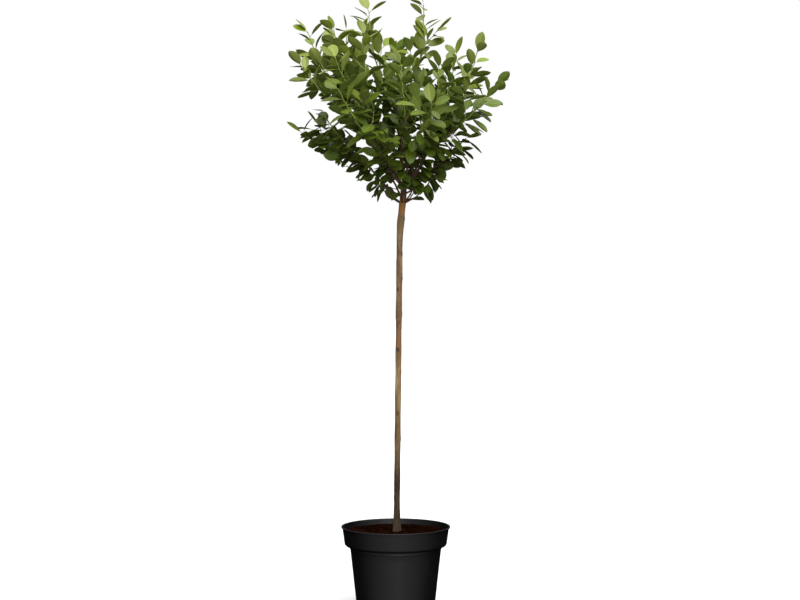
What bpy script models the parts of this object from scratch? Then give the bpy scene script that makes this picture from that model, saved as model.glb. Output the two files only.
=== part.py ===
"""A dwarf sour cherry grown as a small grafted tree, in its black nursery pot.

One slim stem is grafted at the top, and thirteen boughs leave the head above the graft. Each bough
carries a mass of long whips with alternate leaves, and short leafy spurs hang round the head.
Metres, +Z up. The origin is the middle of the pot's flat underside, and -Y is the side shown.
"""

import math
import random

import bmesh
import bpy
import numpy as np
from mathutils import Vector
from mathutils.bvhtree import BVHTree

MM = 0.001
GAP = 0.3 * MM
UP = Vector((0, 0, 1))
EAST = Vector((1, 0, 0))

# The pot: a thin moulded container with a deep band round its mouth
POT_HEIGHT = 225 * MM
LIP_RADIUS = 140 * MM
LIP_DEPTH = 3 * MM
BAND_TOP_RADIUS = 137.5 * MM
BAND_FOOT_RADIUS = 131.5 * MM
BAND_DEPTH = 43 * MM
BAND_FOOT = POT_HEIGHT - BAND_DEPTH
SHOULDER_DEPTH = 8 * MM
SHOULDER_STEPS = 3
BODY_TOP_RADIUS = 117.5 * MM
BODY_FOOT_RADIUS = 98 * MM
FOOT_FILLET = 4 * MM
WALL = 2 * MM
BASE_THICKNESS = 2.6 * MM
POT_SIDES = 32
DRAIN_HOLES = 8
DRAIN_RADIUS = 6 * MM
DRAIN_CIRCLE = 70 * MM
DRAIN_SIDES = 8

# The compost, filled to a finger's width below the rim
SOIL_LEVEL = 211 * MM
SOIL_LUMP = 2.2 * MM
SOIL_RINGS = 4
SOIL_SEED = 4
FOOT_FLAT = 22 * MM

# The stem, from the compost through the graft to its tip inside the crown
STEM_RADIUS = 7.8 * MM
STEM_FOOT_OFFSET = 2.3 * MM
STEM_LEAN = 9 * MM
STEM_BOW = 3 * MM
CROOK_START = 0.87
CROOK_LIMIT = 1.2
CROOK_POWER = 1.5
CROOK = 8 * MM
ROOT_FLARE = 3.4 * MM
FLARE_HEIGHT = 24 * MM
FLARE_LOBES = 5
FLARE_LOBE_SHARE = 0.45
RIPPLE = 0.35 * MM
RIPPLE_LENGTH = 17 * MM
GRAFT_HEIGHT = 1006 * MM
GRAFT_SWELLING = 1.7 * MM
GRAFT_LENGTH = 18 * MM
HEAD_HEIGHT = 1071 * MM
HEAD_SWELLING = 1.4 * MM
HEAD_LENGTH = 22 * MM
STEM_TOP = 1124 * MM
STEM_TIP_RADIUS = 4.2 * MM
STEM_SIDES = 10
STEM_RINGS = 30

# The boughs: each leaves the head, and ends where its leaves begin
BOUGH_ROOT_RADIUS = 2.8 * MM
BOUGH_TIP_RADIUS = 2.5 * MM
BOUGH_SHARE = 0.26
BOUGH_SIDES = 6
LOWEST_BOUGH = 1066 * MM
HIGHEST_BOUGH = 1116 * MM
FORK_SHARE = 0.40
FORK_LEAN = 0.94
LIMB_SPREAD = 1.3
LIMB_STEPS = 6
WHIP_BOW = 0.13
WHIP_STEPS = 4
WHIP_SUNK = 0.04

# Each limb's whips: the bearing of the tip in degrees from +X, its lean from upright, and its
# reach in millimetres from the middle of the head
LIMBS = {
    "left": ((178, 30, 478), (193, 39, 405), (174, 19, 440)),
    "left_low": ((170, 53, 279), (143, 56, 261), (182, 58, 292), (190, 44, 288)),
    "left_back": ((149, 27, 450), (125, 42, 388)),
    "left_front": ((190, 23, 444), (212, 16, 405), (219, 33, 385)),
    "top": ((162, 11, 476), (30, 7, 488)),
    "back": ((100, 22, 392), (95, 36, 400)),
    "back_low": ((90, 56, 265),),
    "right_back": ((38, 25, 402), (60, 43, 372)),
    "right": ((3, 27, 405), (353, 40, 356), (20, 21, 345)),
    "right_low": ((12, 47, 212), (46, 55, 238)),
    "right_front": ((303, 28, 334), (333, 44, 315)),
    "front": ((268, 29, 347), (286, 51, 312)),
    "front_left": ((232, 46, 345), (259, 60, 235)),
}

# The spurs that hang round the head, in the same terms
SPUR_ROOT = 1056 * MM
SPUR_RISE = 4 * MM
SPURS = {
    "spur_front": (264, 48, 108),
    "spur_left": (203, 60, 90),
    "spur_right": (338, 60, 92),
    "spur_front_right": (308, 40, 118),
    "spur_back_left": (126, 62, 80),
    "spur_back_right": (56, 62, 80),
}

# The twigs of a mass
MASS_STEM_RADIUS = 2.5 * MM
WHIP_ROOT_RADIUS = 2.3 * MM
WHIP_TIP_RADIUS = 1.0 * MM
TWIG_ROOT_RADIUS = 1.6 * MM
TWIG_TIP_RADIUS = 0.8 * MM
TWIG_SIDES = 3
TWIG_STEPS = 2
TWIG_EVERY = 3
TWIG_ZONE = 0.8
TWIG_LENGTH = 80 * MM
TWIG_LENGTH_FALL = 0.45
TWIG_SIZES = (0.88, 1.26)
TWIG_ANGLE = 48
TWIG_LIFT = 0.35
TWIG_SHRINK = 0.85

# The leaves of a mass: alternate along each shoot, with one at its tip
NODE_SPACING = 27 * MM
NODE_SUNK = 2 * MM
GOLDEN_ANGLE = 137.5
TURN_JITTER = 20
TRIES = 9
TRY_TURN = 47
LEAF_LENGTH = 74 * MM
LEAF_SIZES = (0.86, 1.12)
LEAF_WIDTH_SHARE = 0.5
LEAF_THICKNESS = 0.9 * MM
LEAF_WIDEST = 0.5
LEAF_FOLD = 0.035
LEAF_ARCH = 0.04
LEAF_ANGLE = 52
LEAF_TILTS = (-10, 14)
LEAF_FACING = (0.7, 0.5)
LEAF_ROLL = 0.4
LEAF_SHRINK = 0.94
YOUNG_ZONE = 0.85
YOUNG_SIZE = 0.85
TIP_LEAF_TURN = 60
TIP_LEAF_ANGLE = 14
TIP_LEAF_SUNK = 1 * MM
LEAF_DROOP = 1.1
DROOP_HEIGHT = 230 * MM
SPACE_MARGIN = 1.2 * MM
LIMB_CLEARANCE = 0.6 * MM

# The crown's foot: level round the head, and rising outward beyond it
CROWN_FOOT = 1058 * MM
FOOT_REACH = 80 * MM
FOOT_RISE = 1


def clear_scene():
    for obj in list(bpy.data.objects):
        bpy.data.objects.remove(obj, do_unlink=True)


def finish(name, hex_colour, roughness):
    """A Principled material of one colour, given as sRGB hex."""
    material = bpy.data.materials.new(name)
    material.use_nodes = True
    shader = material.node_tree.nodes["Principled BSDF"]
    channels = [int(hex_colour[i : i + 2], 16) / 255 for i in (0, 2, 4)]
    linear = [c / 12.92 if c <= 0.04045 else ((c + 0.055) / 1.055) ** 2.4 for c in channels]
    shader.inputs["Base Color"].default_value = (*linear, 1)
    shader.inputs["Roughness"].default_value = roughness
    return material


def object_of(name, bm, material=None):
    """A scene object made from a bmesh, which is freed."""
    mesh = bpy.data.meshes.new(name)
    bm.to_mesh(mesh)
    bm.free()
    if material:
        mesh.materials.append(material)
    obj = bpy.data.objects.new(name, mesh)
    bpy.context.scene.collection.objects.link(obj)
    return obj


def guide_of(name, bm):
    """A cutter: an object that only shapes others."""
    cutter = object_of(name, bm)
    cutter.hide_render = True
    cutter.display_type = "WIRE"
    return cutter


def cut_by(obj, cutter):
    trim = obj.modifiers.new(f"cut_by_{cutter.name}", "BOOLEAN")
    trim.object = cutter


def smooth(obj, sharp_above):
    obj.data.shade_smooth()
    obj.data.set_sharp_from_angle(angle=math.radians(sharp_above))


def turned(name, profile, sides, material):
    """A closed body turned about Z from (radius, height) points that start and end on the axis."""
    bm = bmesh.new()
    points = [bm.verts.new((radius, 0, height)) for radius, height in profile]
    edges = [bm.edges.new(pair) for pair in zip(points, points[1:])]
    bmesh.ops.spin(
        bm, geom=points + edges, cent=(0, 0, 0), axis=(0, 0, 1), steps=sides,
        angle=2 * math.pi, use_duplicate=False,
    )
    bmesh.ops.remove_doubles(bm, verts=bm.verts, dist=0.01 * MM)
    bmesh.ops.recalc_face_normals(bm, faces=bm.faces)
    return object_of(name, bm, material)


def pot_wall(inset, top, foot):
    """The pot's outer side as (radius, height) points from top to foot, moved inward by inset."""
    shoulder_foot = BAND_FOOT - SHOULDER_DEPTH + inset
    run = BAND_FOOT_RADIUS - BODY_TOP_RADIUS
    band_slope = (BAND_TOP_RADIUS - BAND_FOOT_RADIUS) / BAND_DEPTH
    body_slope = (BODY_TOP_RADIUS - BODY_FOOT_RADIUS) / shoulder_foot
    wall = [(BAND_FOOT_RADIUS + band_slope * (top - BAND_FOOT) - inset, top)]
    for step in range(SHOULDER_STEPS + 1):
        turn = 0.5 * math.pi * step / SHOULDER_STEPS
        radius = BODY_TOP_RADIUS + run * math.cos(turn) - inset
        wall.append((radius, BAND_FOOT + inset - SHOULDER_DEPTH * math.sin(turn)))
    wall.append((BODY_FOOT_RADIUS + body_slope * foot - inset, foot))
    return wall


def make_pot():
    outside = pot_wall(0, POT_HEIGHT - LIP_DEPTH, FOOT_FILLET)
    inside = pot_wall(WALL, POT_HEIGHT, BASE_THICKNESS)
    profile = [
        (0, 0),
        (BODY_FOOT_RADIUS - FOOT_FILLET, 0),
        *reversed(outside),
        (LIP_RADIUS, POT_HEIGHT - LIP_DEPTH),
        (LIP_RADIUS, POT_HEIGHT),
        *inside,
        (0, BASE_THICKNESS),
    ]
    pot = turned("pot", profile, POT_SIDES, finish("moulded_black_plastic", "262626", 0.45))
    smooth(pot, 30)
    for hole in range(DRAIN_HOLES):
        turn = 2 * math.pi * (hole + 0.5) / DRAIN_HOLES
        drill = bmesh.new()
        bmesh.ops.create_cone(
            drill, cap_ends=True, segments=DRAIN_SIDES, radius1=DRAIN_RADIUS,
            radius2=DRAIN_RADIUS, depth=4 * BASE_THICKNESS,
        )
        drill = guide_of(f"drain_{hole}", drill)
        drill.location = (DRAIN_CIRCLE * math.cos(turn), DRAIN_CIRCLE * math.sin(turn), 0)
        cut_by(pot, drill)


def make_soil():
    """Compost that fills the pot, with a lumpy top that is flat round the stem's foot."""
    rng = random.Random(SOIL_SEED)
    side = pot_wall(WALL + GAP, SOIL_LEVEL, BASE_THICKNESS + GAP)
    rim = side[0][0]
    top = [(0, SOIL_LEVEL), (FOOT_FLAT, SOIL_LEVEL)]
    for ring in range(1, SOIL_RINGS):
        top.append((FOOT_FLAT + (rim - FOOT_FLAT) * ring / SOIL_RINGS, SOIL_LEVEL))
    profile = [*top, *side, (0, BASE_THICKNESS + GAP)]
    soil = turned("soil", profile, POT_SIDES, finish("damp_compost", "2a1a12", 0.95))
    for vertex in soil.data.vertices:
        radius = math.hypot(vertex.co.x, vertex.co.y)
        on_top = abs(vertex.co.z - SOIL_LEVEL) < 0.1 * MM
        if on_top and FOOT_FLAT + MM < radius < rim - MM:
            vertex.co.z += rng.uniform(-SOIL_LUMP, SOIL_LUMP)
    smooth(soil, 60)


def bump(height, middle, length):
    return math.exp(-(((height - middle) / length) ** 2))


def stem_axis(height):
    """The stem's centre line: a slight lean, a slight bow, and the crook above the graft."""
    share = (height - SOIL_LEVEL) / (HEAD_HEIGHT - SOIL_LEVEL)
    crook = max(0, share - CROOK_START) / (1 - CROOK_START)
    x = STEM_FOOT_OFFSET + STEM_LEAN * share + CROOK * min(crook, CROOK_LIMIT) ** CROOK_POWER
    y = STEM_BOW * math.sin(math.pi * min(share, 1))
    return Vector((x, y, height))


def stem_radius(height, turn):
    """The stem's radius, with its root flare, the swollen graft union and the thick head."""
    above = height - SOIL_LEVEL
    flare = ROOT_FLARE * math.exp(-above / FLARE_HEIGHT)
    radius = STEM_RADIUS + flare * (1 + FLARE_LOBE_SHARE * math.cos(FLARE_LOBES * turn))
    radius += GRAFT_SWELLING * bump(height, GRAFT_HEIGHT, GRAFT_LENGTH)
    radius += HEAD_SWELLING * bump(height, HEAD_HEIGHT - HEAD_LENGTH, HEAD_LENGTH)
    radius += RIPPLE * math.sin(above / RIPPLE_LENGTH + 2 * math.sin(turn))
    taper = max(0, height - HEAD_HEIGHT) / (STEM_TOP - HEAD_HEIGHT)
    return radius + (STEM_TIP_RADIUS - STEM_RADIUS) * taper


def close_rings(bm, rings):
    """Joins rings of vertices, each to the next, and caps both ends."""
    sides = len(rings[0])
    for low, high in zip(rings, rings[1:]):
        for side in range(sides):
            after = (side + 1) % sides
            bm.faces.new((low[side], low[after], high[after], high[side]))
    bm.faces.new(reversed(rings[0]))
    bm.faces.new(rings[-1])


def stem_body(extra):
    """The stem as a bmesh of level rings, grown outward by extra."""
    bm = bmesh.new()
    rings = []
    for ring in range(STEM_RINGS + 1):
        height = SOIL_LEVEL + GAP + (STEM_TOP - SOIL_LEVEL - GAP) * ring / STEM_RINGS
        corners = []
        for side in range(STEM_SIDES):
            turn = 2 * math.pi * side / STEM_SIDES
            radius = stem_radius(height, turn) + extra
            offset = Vector((radius * math.cos(turn), radius * math.sin(turn), 0))
            corners.append(bm.verts.new(stem_axis(height) + offset))
        rings.append(corners)
    close_rings(bm, rings)
    return bm


def limb_body(points, root_radius, tip_radius, sides):
    """A tapering limb as a bmesh, with rings square to the line through the points."""
    bm = bmesh.new()
    rings = []
    last = len(points) - 1
    aside = EAST if abs((points[1] - points[0]).normalized().x) < 0.8 else UP
    for index, point in enumerate(points):
        along = (points[min(index + 1, last)] - points[max(index - 1, 0)]).normalized()
        aside = (aside - along * aside.dot(along)).normalized()
        across = along.cross(aside)
        radius = root_radius + (tip_radius - root_radius) * index / last
        corners = []
        for side in range(sides):
            turn = 2 * math.pi * side / sides
            offset = aside * math.cos(turn) + across * math.sin(turn)
            corners.append(bm.verts.new(point + offset * radius))
        rings.append(corners)
    close_rings(bm, rings)
    return bm


def heading(bearing, lean):
    """The unit vector that points to a bearing, at a lean from upright, both in degrees."""
    turn, tilt = math.radians(bearing), math.radians(lean)
    level = math.sin(tilt)
    return Vector((level * math.cos(turn), level * math.sin(turn), math.cos(tilt)))


def arc(start, steer, end, steps):
    """Points along the quadratic curve from start to end that bends towards steer."""
    line = []
    for step in range(steps + 1):
        t = step / steps
        line.append(start * (1 - t) ** 2 + steer * (2 * t * (1 - t)) + end * t**2)
    return line


def length_of(line):
    return sum((b - a).length for a, b in zip(line, line[1:]))


def point_along(line, distance):
    """The point and the direction at a distance along a line."""
    walked = 0
    for a, b in zip(line, line[1:]):
        step = (b - a).length
        if walked + step >= distance:
            return a.lerp(b, (distance - walked) / step), (b - a).normalized()
        walked += step
    return line[-1].copy(), (line[-1] - line[-2]).normalized()


def cut_line(line, start, end):
    """The part of a line between two distances along it."""
    inner, walked = [], 0
    for a, b in zip(line, line[1:]):
        walked += (b - a).length
        if start + MM < walked < end - MM:
            inner.append(b)
    return [point_along(line, start)[0], *inner, point_along(line, end)[0]]


class Limb:
    """One bough with the mass that it carries: the lines that both are built along."""

    def __init__(self, name, tips, root_height):
        heart = stem_axis(HEAD_HEIGHT)
        ways = [heading(bearing, lean) * reach * MM for bearing, lean, reach in tips]
        mean = sum(ways, Vector()) / len(ways)
        bearing = math.degrees(math.atan2(mean.y, mean.x))
        lean = math.degrees(mean.angle(UP))
        fork_reach = FORK_SHARE * sum(way.length for way in ways) / len(ways)
        fork = heart + heading(bearing, FORK_LEAN * lean) * fork_reach
        steer = heart + heading(bearing, LIMB_SPREAD * lean) * fork_reach / 2
        self.name = name
        self.line = arc(stem_axis(root_height), steer, fork, LIMB_STEPS)
        self.bough_end = BOUGH_SHARE * length_of(self.line)
        self.whips = []
        for way in ways:
            tip = heart + way
            bow = Vector((way.x, way.y, 0)).normalized() * WHIP_BOW * (tip - fork).length
            self.whips.append(arc(fork, fork.lerp(tip, 0.5) + bow, tip, WHIP_STEPS))

    def bough_line(self):
        return cut_line(self.line, 0, self.bough_end)

    def mass_line(self):
        return cut_line(self.line, self.bough_end + GAP, length_of(self.line))

    def skeleton(self):
        return [self.line, *self.whips]


class Spur:
    """A short leafy shoot that springs from the head itself and hangs."""

    def __init__(self, name, tip):
        bearing, lean, reach = tip
        way = heading(bearing, lean) * reach * MM
        root = stem_axis(SPUR_ROOT)
        steer = root + Vector((way.x, way.y, 0)) / 2 + UP * SPUR_RISE
        self.name = name
        self.line = arc(root, steer, stem_axis(HEAD_HEIGHT) + way, WHIP_STEPS)

    def skeleton(self):
        return [self.line]


class Spaces:
    """Shares the crown out: each mass owns what is nearer to its own lines than to any other's."""

    def __init__(self, plants):
        starts, ways, owners = [], [], []
        for owner, plant in enumerate(plants):
            for line in plant.skeleton():
                for a, b in zip(line, line[1:]):
                    starts.append(a)
                    ways.append(b - a)
                    owners.append(owner)
        self.starts = np.array(starts)
        self.ways = np.array(ways)
        self.squares = (self.ways**2).sum(1)
        self.firsts = np.searchsorted(owners, range(len(plants)))

    def holds(self, owner, points):
        at = np.array(points)[:, None, :] - self.starts[None]
        share = np.clip((at * self.ways).sum(2) / self.squares, 0, 1)
        away = np.sqrt(((at - share[..., None] * self.ways) ** 2).sum(2))
        nearest = np.minimum.reduceat(away, self.firsts, axis=1)
        own = nearest[:, owner] + 2 * SPACE_MARGIN
        nearest[:, owner] = np.inf
        return bool((own < nearest.min(1)).all())


def leaf_body(root, along, face, length):
    """A leaf of eight faces: a kite folded along its midrib and thin at its edge."""
    across = along.cross(face).normalized()
    half = 0.5 * LEAF_WIDTH_SHARE * length
    middle = root + along * LEAF_WIDEST * length + face * LEAF_ARCH * length
    edge = middle + face * LEAF_FOLD * length
    tip = root + along * length - face * LEAF_ARCH * length
    bm = bmesh.new()
    rim = [bm.verts.new(p) for p in (root, edge - across * half, tip, edge + across * half)]
    top = bm.verts.new(middle + face * LEAF_THICKNESS / 2)
    under = bm.verts.new(middle - face * LEAF_THICKNESS / 2)
    for a, b in zip(rim, rim[1:] + rim[:1]):
        bm.faces.new((b, a, top))
        bm.faces.new((a, b, under))
    bmesh.ops.recalc_face_normals(bm, faces=bm.faces)
    return bm


def round_a_stem(along, turn):
    """The way square out of a stem, on the side that turn gives in degrees."""
    side = along.cross(UP)
    if side.length < 0.05:
        side = along.cross(EAST)
    side.normalize()
    angle = math.radians(turn)
    return side * math.cos(angle) + along.cross(side) * math.sin(angle)


def above_the_foot(point):
    """Whether a point is above the crown's foot, which rises outward from the head."""
    heart = stem_axis(HEAD_HEIGHT)
    outward = math.hypot(point.x - heart.x, point.y - heart.y) - FOOT_REACH
    return point.z > CROWN_FOOT + FOOT_RISE * max(0, outward)


class Mass:
    """Twigs and leaves that grow from one limb by a seeded rule, and keep to their own space."""

    def __init__(self, owner, name, spaces, limbs):
        self.owner = owner
        self.spaces = spaces
        self.limbs = limbs
        self.rng = random.Random(name)
        self.pieces = []
        self.trees = []

    def fits(self, bm, parent):
        """Whether a piece stays in the mass's space, off the limbs and off all but its parent."""
        points = [v.co for v in bm.verts]
        if not all(above_the_foot(point) for point in points):
            return False
        points += [(e.verts[0].co + e.verts[1].co) / 2 for e in bm.edges]
        if not self.spaces.holds(self.owner, points):
            return False
        tree = BVHTree.FromBMesh(bm)
        if any(tree.overlap(limb) for limb in self.limbs):
            return False
        return not any(
            index != parent and tree.overlap(other) for index, other in enumerate(self.trees)
        )

    def keep(self, bm):
        self.trees.append(BVHTree.FromBMesh(bm))
        self.pieces.append(object_of(f"piece_{len(self.pieces)}", bm))
        return len(self.pieces) - 1

    def grow_stem(self, line, root_radius, tip_radius, ends_in_leaf):
        """A main stem, which carries side twigs as well as leaves."""
        stem = self.keep(limb_body(line, root_radius, tip_radius, TWIG_SIDES))
        self.clothe(line, stem, TWIG_ZONE)
        if ends_in_leaf:
            self.tip_leaf(line, stem)

    def grow_twig(self, line, parent):
        """A side twig with its leaves, if there is room for it."""
        body = limb_body(line, TWIG_ROOT_RADIUS, TWIG_TIP_RADIUS, TWIG_SIDES)
        if not self.fits(body, parent):
            body.free()
            return False
        twig = self.keep(body)
        self.clothe(line, twig, 0)
        self.tip_leaf(line, twig)
        return True

    def clothe(self, line, stem, twig_zone):
        """Sets leaves along a stem, with a side twig for every third one up to twig_zone."""
        total = length_of(line)
        nodes = max(1, round(total / NODE_SPACING))
        for node in range(1, nodes + 1):
            share = node / nodes
            site, along = point_along(line, total * share - NODE_SUNK)
            turn = GOLDEN_ANGLE * node + self.rng.uniform(-TURN_JITTER, TURN_JITTER)
            if share < twig_zone and node % TWIG_EVERY == 1:
                self.side_twig(site, along, turn, share, stem)
            else:
                self.leaf(site, along, turn, share, stem, LEAF_ANGLE)

    def tip_leaf(self, line, stem):
        along = (line[-1] - line[-2]).normalized()
        self.leaf(line[-1] - along * TIP_LEAF_SUNK, along, TIP_LEAF_TURN, 1, stem, TIP_LEAF_ANGLE)

    def side_twig(self, site, along, turn, share, stem):
        """A twig that bends upward, turned and shortened until it has room."""
        for attempt in range(TRIES):
            radial = round_a_stem(along, turn + TRY_TURN * attempt)
            tilt = math.radians(TWIG_ANGLE)
            way = along * math.cos(tilt) + radial * math.sin(tilt)
            size = (1 - TWIG_LENGTH_FALL * share) * self.rng.uniform(*TWIG_SIZES)
            half = TWIG_LENGTH * size * TWIG_SHRINK**attempt / 2
            steer = site + way * half
            end = steer + (way + UP * TWIG_LIFT).normalized() * half
            if self.grow_twig(arc(site, steer, end, TWIG_STEPS), stem):
                return

    def leaf(self, site, along, turn, share, stem, angle):
        """A leaf, turned and shrunk until it has room. Those near the head droop."""
        size = self.rng.uniform(*LEAF_SIZES) * (1 if share < YOUNG_ZONE else YOUNG_SIZE)
        above = max(0, site.z - HEAD_HEIGHT)
        droop = LEAF_DROOP * max(0, 1 - above / DROOP_HEIGHT)
        for attempt in range(TRIES):
            radial = round_a_stem(along, turn + TRY_TURN * attempt)
            tilt = math.radians(angle + self.rng.uniform(*LEAF_TILTS))
            way = along * math.cos(tilt) + radial * math.sin(tilt)
            way = (way.normalized() - UP * droop).normalized()
            face = along * LEAF_FACING[0] + UP * LEAF_FACING[1]
            face = (face - way * face.dot(way)).normalized()
            roll = radial.cross(way) * self.rng.uniform(-LEAF_ROLL, LEAF_ROLL)
            face = (face + roll - way * roll.dot(way)).normalized()
            body = leaf_body(site, way, face, LEAF_LENGTH * size * LEAF_SHRINK**attempt)
            if self.fits(body, stem):
                self.keep(body)
                return
            body.free()

    def join(self, name, material):
        """One body from all the pieces. EXACT is slow on so many, so MANIFOLD joins them."""
        base, *others = self.pieces
        group = bpy.data.collections.new(f"{name}_pieces")
        bpy.context.scene.collection.children.link(group)
        for other in others:
            bpy.context.scene.collection.objects.unlink(other)
            group.objects.link(other)
        union = base.modifiers.new("union", "BOOLEAN")
        union.operation = "UNION"
        union.operand_type = "COLLECTION"
        union.collection = group
        union.solver = "MANIFOLD"
        bpy.context.view_layer.update()
        graph = bpy.context.evaluated_depsgraph_get()
        joined = bpy.data.meshes.new_from_object(base.evaluated_get(graph))
        base.modifiers.clear()
        base.data = joined
        base.name = name
        joined.materials.clear()
        joined.materials.append(material)
        for other in others:
            bpy.data.objects.remove(other, do_unlink=True)
        bpy.data.collections.remove(group)
        return base


def make_boughs(limbs, cutter):
    """Makes the boughs, trimmed to the stem, and returns the room that each one needs."""
    bark = finish("bark_of_the_boughs", "6a4634", 0.7)
    rooms = []
    for limb in limbs:
        line = limb.bough_line()
        body = limb_body(line, BOUGH_ROOT_RADIUS, BOUGH_TIP_RADIUS, BOUGH_SIDES)
        bough = object_of(f"bough_{limb.name}", body, bark)
        cut_by(bough, cutter)
        smooth(bough, 40)
        radius = BOUGH_ROOT_RADIUS + LIMB_CLEARANCE
        room = limb_body(line, radius, radius, BOUGH_SIDES)
        rooms.append(BVHTree.FromBMesh(room))
        room.free()
    return rooms


def make_masses(limbs, spurs, rooms, cutter):
    green = finish("cherry_leaves", "4f6a2c", 0.45)
    plants = limbs + spurs
    spaces = Spaces(plants)
    for owner, plant in enumerate(plants):
        mass = Mass(owner, plant.name, spaces, rooms)
        if plant in spurs:
            mass.grow_stem(plant.line, WHIP_ROOT_RADIUS, WHIP_TIP_RADIUS, True)
            cut_by(mass.join(f"leaves_{plant.name}", green), cutter)
            continue
        mass.grow_stem(plant.mass_line(), MASS_STEM_RADIUS, WHIP_ROOT_RADIUS, False)
        for whip in plant.whips:
            sunk = [whip[0].lerp(whip[1], -WHIP_SUNK), *whip[1:]]
            mass.grow_stem(sunk, WHIP_ROOT_RADIUS, WHIP_TIP_RADIUS, True)
        mass.join(f"leaves_{plant.name}", green)


def main():
    clear_scene()
    make_pot()
    make_soil()
    stem = object_of("stem", stem_body(0), finish("bark_of_the_stem", "8a7558", 0.85))
    smooth(stem, 40)
    cutter = guide_of("stem_room", stem_body(GAP))

    flattest_first = sorted(LIMBS, key=lambda name: -max(tip[1] for tip in LIMBS[name]))
    step = (HIGHEST_BOUGH - LOWEST_BOUGH) / (len(LIMBS) - 1)
    limbs = [
        Limb(name, LIMBS[name], LOWEST_BOUGH + step * place)
        for place, name in enumerate(flattest_first)
    ]
    spurs = [Spur(name, tip) for name, tip in SPURS.items()]

    room = stem_body(LIMB_CLEARANCE)
    rooms = [BVHTree.FromBMesh(room)]
    room.free()
    rooms += make_boughs(limbs, cutter)
    make_masses(limbs, spurs, rooms, cutter)


main()
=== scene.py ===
"""A dwarf sour cherry grown as a small grafted tree, in its black nursery pot.

The pot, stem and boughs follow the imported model's own lines, and the twigs and leaves grow on from them
by its rule. Metres, +Z up. The origin is the middle of the pot's flat underside, and -Y is the side shown.
"""

import math
import random

import bmesh
import bpy
import numpy as np
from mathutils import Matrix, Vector
from mathutils.bvhtree import BVHTree


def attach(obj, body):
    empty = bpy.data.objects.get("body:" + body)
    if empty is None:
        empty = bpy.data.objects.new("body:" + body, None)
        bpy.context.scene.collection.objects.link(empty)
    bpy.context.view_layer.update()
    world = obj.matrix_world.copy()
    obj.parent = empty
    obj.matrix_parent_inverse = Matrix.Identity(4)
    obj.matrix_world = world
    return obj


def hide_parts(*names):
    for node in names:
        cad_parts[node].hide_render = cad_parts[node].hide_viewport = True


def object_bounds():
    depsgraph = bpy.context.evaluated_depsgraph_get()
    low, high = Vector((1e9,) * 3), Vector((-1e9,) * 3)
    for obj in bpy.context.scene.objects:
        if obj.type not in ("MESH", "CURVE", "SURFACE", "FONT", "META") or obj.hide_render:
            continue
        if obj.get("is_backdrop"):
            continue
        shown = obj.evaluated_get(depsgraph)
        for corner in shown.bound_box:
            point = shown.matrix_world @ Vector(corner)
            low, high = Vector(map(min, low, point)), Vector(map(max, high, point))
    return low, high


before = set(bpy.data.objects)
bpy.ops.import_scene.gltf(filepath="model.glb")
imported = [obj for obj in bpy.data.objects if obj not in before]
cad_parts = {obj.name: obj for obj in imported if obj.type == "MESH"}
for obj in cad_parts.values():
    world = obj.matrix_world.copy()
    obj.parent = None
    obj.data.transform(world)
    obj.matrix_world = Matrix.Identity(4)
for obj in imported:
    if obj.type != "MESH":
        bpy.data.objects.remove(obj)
cad_low, cad_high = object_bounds()

# The studio. The plant stands on pale painted ground that runs out of sight, lit by a broad ceiling of soft
# light and a softly lit wall in front, each with a lamp of its own. It is seen level, from about half its
# height and four metres away.
MM = 0.001
EYE = (11 * MM, -3900 * MM, 806 * MM)
FOCAL_LENGTH = 68.27
GROUND_RADIUS = 60
GROUND_SIDES = 96
KEY_TURN = (40, 18, 0)
KEY_STRENGTH = 2.2
KEY_ANGLE = 60
FRONT_TURN = (84, 0, 3)
FRONT_STRENGTH = 0.6
FRONT_ANGLE = 50
CEILING_LIGHT = 1.25
CEILING_EDGE = (0.28, 0.88)
FRONT_WALL_WAY = (0.05, -0.95, 0.3)
FRONT_WALL_LIGHT = 0.57
FRONT_WALL_EDGE = (-0.3, 0.75)
BARE_WALL_LIGHT = 0.006


def linear(hex_colour):
    """An sRGB hex colour as the linear RGBA that a shader takes."""
    channels = [int(hex_colour[i : i + 2], 16) / 255 for i in (0, 2, 4)]
    return (*[c / 12.92 if c <= 0.04045 else ((c + 0.055) / 1.055) ** 2.4 for c in channels], 1)


def add_node(owner, kind, settings=None, links=None):
    """Adds a node. Settings are its fields or its inputs' values, and links name what feeds each input."""
    node = owner.node_tree.nodes.new(kind)
    for name, value in (settings or {}).items():
        if isinstance(name, str) and hasattr(node, name):
            setattr(node, name, value)
        else:
            node.inputs[name].default_value = value
    for name, source in (links or {}).items():
        owner.node_tree.links.new(source, node.inputs[name])
    return node


def graded(owner, value, start, end, low=0, high=1, curve="LINEAR"):
    """Maps a value from one range onto another, and stops at the ends."""
    ranges = {"From Min": start, "From Max": end, "To Min": low, "To Max": high}
    settings = {"interpolation_type": curve, **ranges}
    return add_node(owner, "ShaderNodeMapRange", settings, {"Value": value}).outputs["Result"]


def new_finish(name, hex_colour, roughness, ior=1.5, shine=0.5):
    """A Principled material of one colour and gloss, which nodes may then vary. Returns it and its shader."""
    finish = bpy.data.materials.new(name)
    finish.use_nodes = True
    shader = finish.node_tree.nodes["Principled BSDF"]
    shader.inputs["Base Color"].default_value = linear(hex_colour)
    shader.inputs["Roughness"].default_value = roughness
    shader.inputs["IOR"].default_value = ior
    shader.inputs["Specular IOR Level"].default_value = shine
    return finish, shader


bpy.ops.object.select_all(action="DESELECT")
bpy.ops.object.camera_add(location=EYE, rotation=(math.radians(90), 0, 0))
camera = bpy.context.object
camera.name = "camera"
camera.data.lens = FOCAL_LENGTH
bpy.context.scene.camera = camera
bpy.context.scene.view_settings.view_transform = "Standard"

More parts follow.
